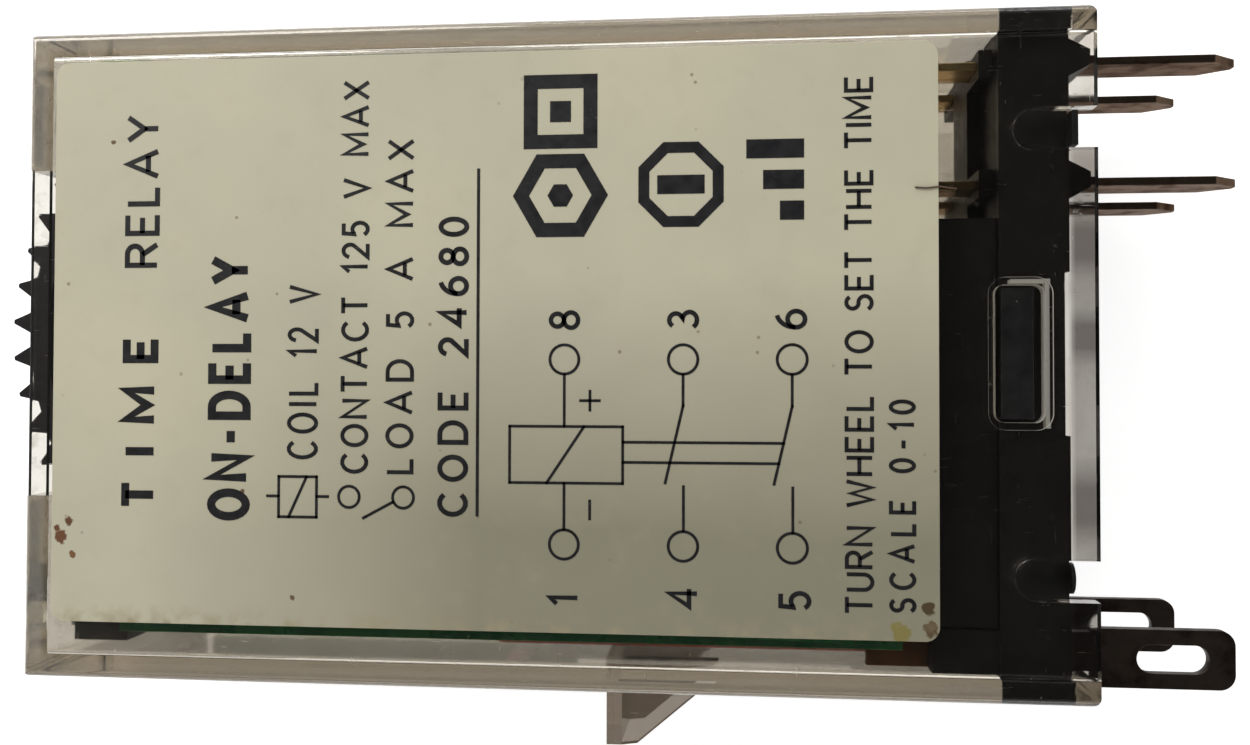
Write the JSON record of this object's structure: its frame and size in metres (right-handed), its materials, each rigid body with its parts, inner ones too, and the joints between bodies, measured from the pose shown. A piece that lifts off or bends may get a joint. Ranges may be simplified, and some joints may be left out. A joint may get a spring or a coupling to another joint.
{
  "type": "plug-in timer relay",
  "caption": "Slim clear-cased plug-in timer relay with blade terminals, a toothed time-setting wheel, a paper label and a hold-down lug.",
  "frame": {"origin": "centre of the cover's rim plane, the plane that seats on the socket", "axes": "+X out of the blades, away from the wheel; +Y towards the contact blades; +Z out of the label, so the part lies on its back wide face"},
  "size_m": [0.0547, 0.032, 0.0129],
  "materials": {
    "clear_cover": "clear, slightly smoky, moulded",
    "label_paper": "matt sticker",
    "black_plastic": "moulded",
    "wheel_plastic": "moulded, fine grain",
    "blade_metal": "tinned and dulled",
    "contact_metal": "bright",
    "spring_metal": "rolled",
    "card_plastic": "moulded",
    "bobbin_plastic": "moulded",
    "copper_wire": "enamelled copper winding",
    "coil_tape": "wound tape",
    "iron": "zinc plated",
    "board": "solder resist",
    "tinned_wire": "tinned",
    "pot_blue": "moulded",
    "pot_white": "moulded",
    "carbon": "printed track",
    "ceramic_chip": "fired",
    "dip_plastic": "moulded",
    "slider_plastic": "moulded",
    "led_green": "tinted clear",
    "led_orange": "tinted clear",
    "tantalum_body": "moulded",
    "resistor_body": "lacquered",
    "wire_jacket": "insulated wire",
    "solder": "bright",
    "label_ink": "printed ink",
    "dial_print": "printed scale"
  },
  "bodies": {
    "root": {"cover": "clear_cover", "label": "label_paper", "base": "black_plastic", "relay_base": "black_plastic", "terminal_1": "blade_metal", "terminal_3": "blade_metal", "terminal_4": "blade_metal", "terminal_5": "blade_metal", "terminal_6": "blade_metal", "terminal_8": "blade_metal", "fixed_contacts": "contact_metal", "bobbin": "bobbin_plastic", "coil_winding": "copper_wire", "coil_tape": "coil_tape", "core": "iron", "yoke": "iron", "return_spring": "spring_metal", "coil_pins": "tinned_wire", "control_board": "board", "power_board": "board", "board_pins": "tinned_wire", "pot_body": "pot_blue", "pot_track": "carbon", "pot_leads": "tinned_wire", "timer_ic": "black_plastic", "timer_ic_leads": "tinned_wire", "chip_resistors": "carbon", "chip_capacitors": "ceramic_chip", "dip_body": "dip_plastic", "dip_leads": "tinned_wire", "power_led": "led_green", "output_led": "led_orange", "led_leads": "tinned_wire", "filter_capacitor": "tantalum_body", "rectifier": "black_plastic", "dropper_resistors": "resistor_body", "drive_transistor": "black_plastic", "supply_wires": "wire_jacket", "solder_joints": "solder"},
    "wheel": {"time_wheel": "wheel_plastic", "pot_rotor": "pot_white", "pot_wiper": "spring_metal"},
    "armature": {"armature": "iron"},
    "card": {"actuator_card": "card_plastic"},
    "spring_near": {"contact_spring_near": "spring_metal", "moving_contact_near": "contact_metal"},
    "spring_far": {"contact_spring_far": "spring_metal", "moving_contact_far": "contact_metal"},
    "slider_1": {"dip_slider_1": "slider_plastic"},
    "slider_2": {"dip_slider_2": "slider_plastic"},
    "slider_3": {"dip_slider_3": "slider_plastic"},
    "slider_4": {"dip_slider_4": "slider_plastic"}
  },
  "joints": [
    {"name": "wheel_turn", "type": "hinge", "parent": "root", "child": "wheel", "pos_m": [-0.0361, 0.00095, 0], "axis": [0, 0, 1], "range_deg": [-135, 135]},
    {"name": "armature_swing", "type": "hinge", "parent": "root", "child": "armature", "pos_m": [-0.02008, 0.0002, 0], "axis": [0, 0, 1], "range_deg": [0, 4.6], "stiffness_Nm_per_rad": 0.004, "springref_deg": -5.73},
    {"name": "card_slide", "type": "slide", "parent": "root", "child": "card", "axis": [0, 1, 0], "range_m": [0, 0.00052]},
    {"name": "spring_near_flex", "type": "hinge", "parent": "root", "child": "spring_near", "pos_m": [-0.009, 0.00758, 0.003], "axis": [0, 0, -1], "range_deg": [0, 5.6]},
    {"name": "spring_far_flex", "type": "hinge", "parent": "root", "child": "spring_far", "pos_m": [-0.009, 0.00758, -0.003], "axis": [0, 0, -1], "range_deg": [0, 5.6]},
    {"name": "slider_1_slide", "type": "slide", "parent": "root", "child": "slider_1", "axis": [0, 1, 0], "range_m": [0, 0.0011]},
    {"name": "slider_2_slide", "type": "slide", "parent": "root", "child": "slider_2", "axis": [0, 1, 0], "range_m": [-0.0011, 0]},
    {"name": "slider_3_slide", "type": "slide", "parent": "root", "child": "slider_3", "axis": [0, 1, 0], "range_m": [0, 0.0011]},
    {"name": "slider_4_slide", "type": "slide", "parent": "root", "child": "slider_4", "axis": [0, 1, 0], "range_m": [0, 0.0011]}
  ],
  "couplings": [
    {"joint": "card_slide", "follows": "armature_swing", "m_per_rad": 0.0063},
    {"joint": "spring_near_flex", "follows": "armature_swing", "ratio": 1.1957},
    {"joint": "spring_far_flex", "follows": "armature_swing", "ratio": 1.1957}
  ]
}
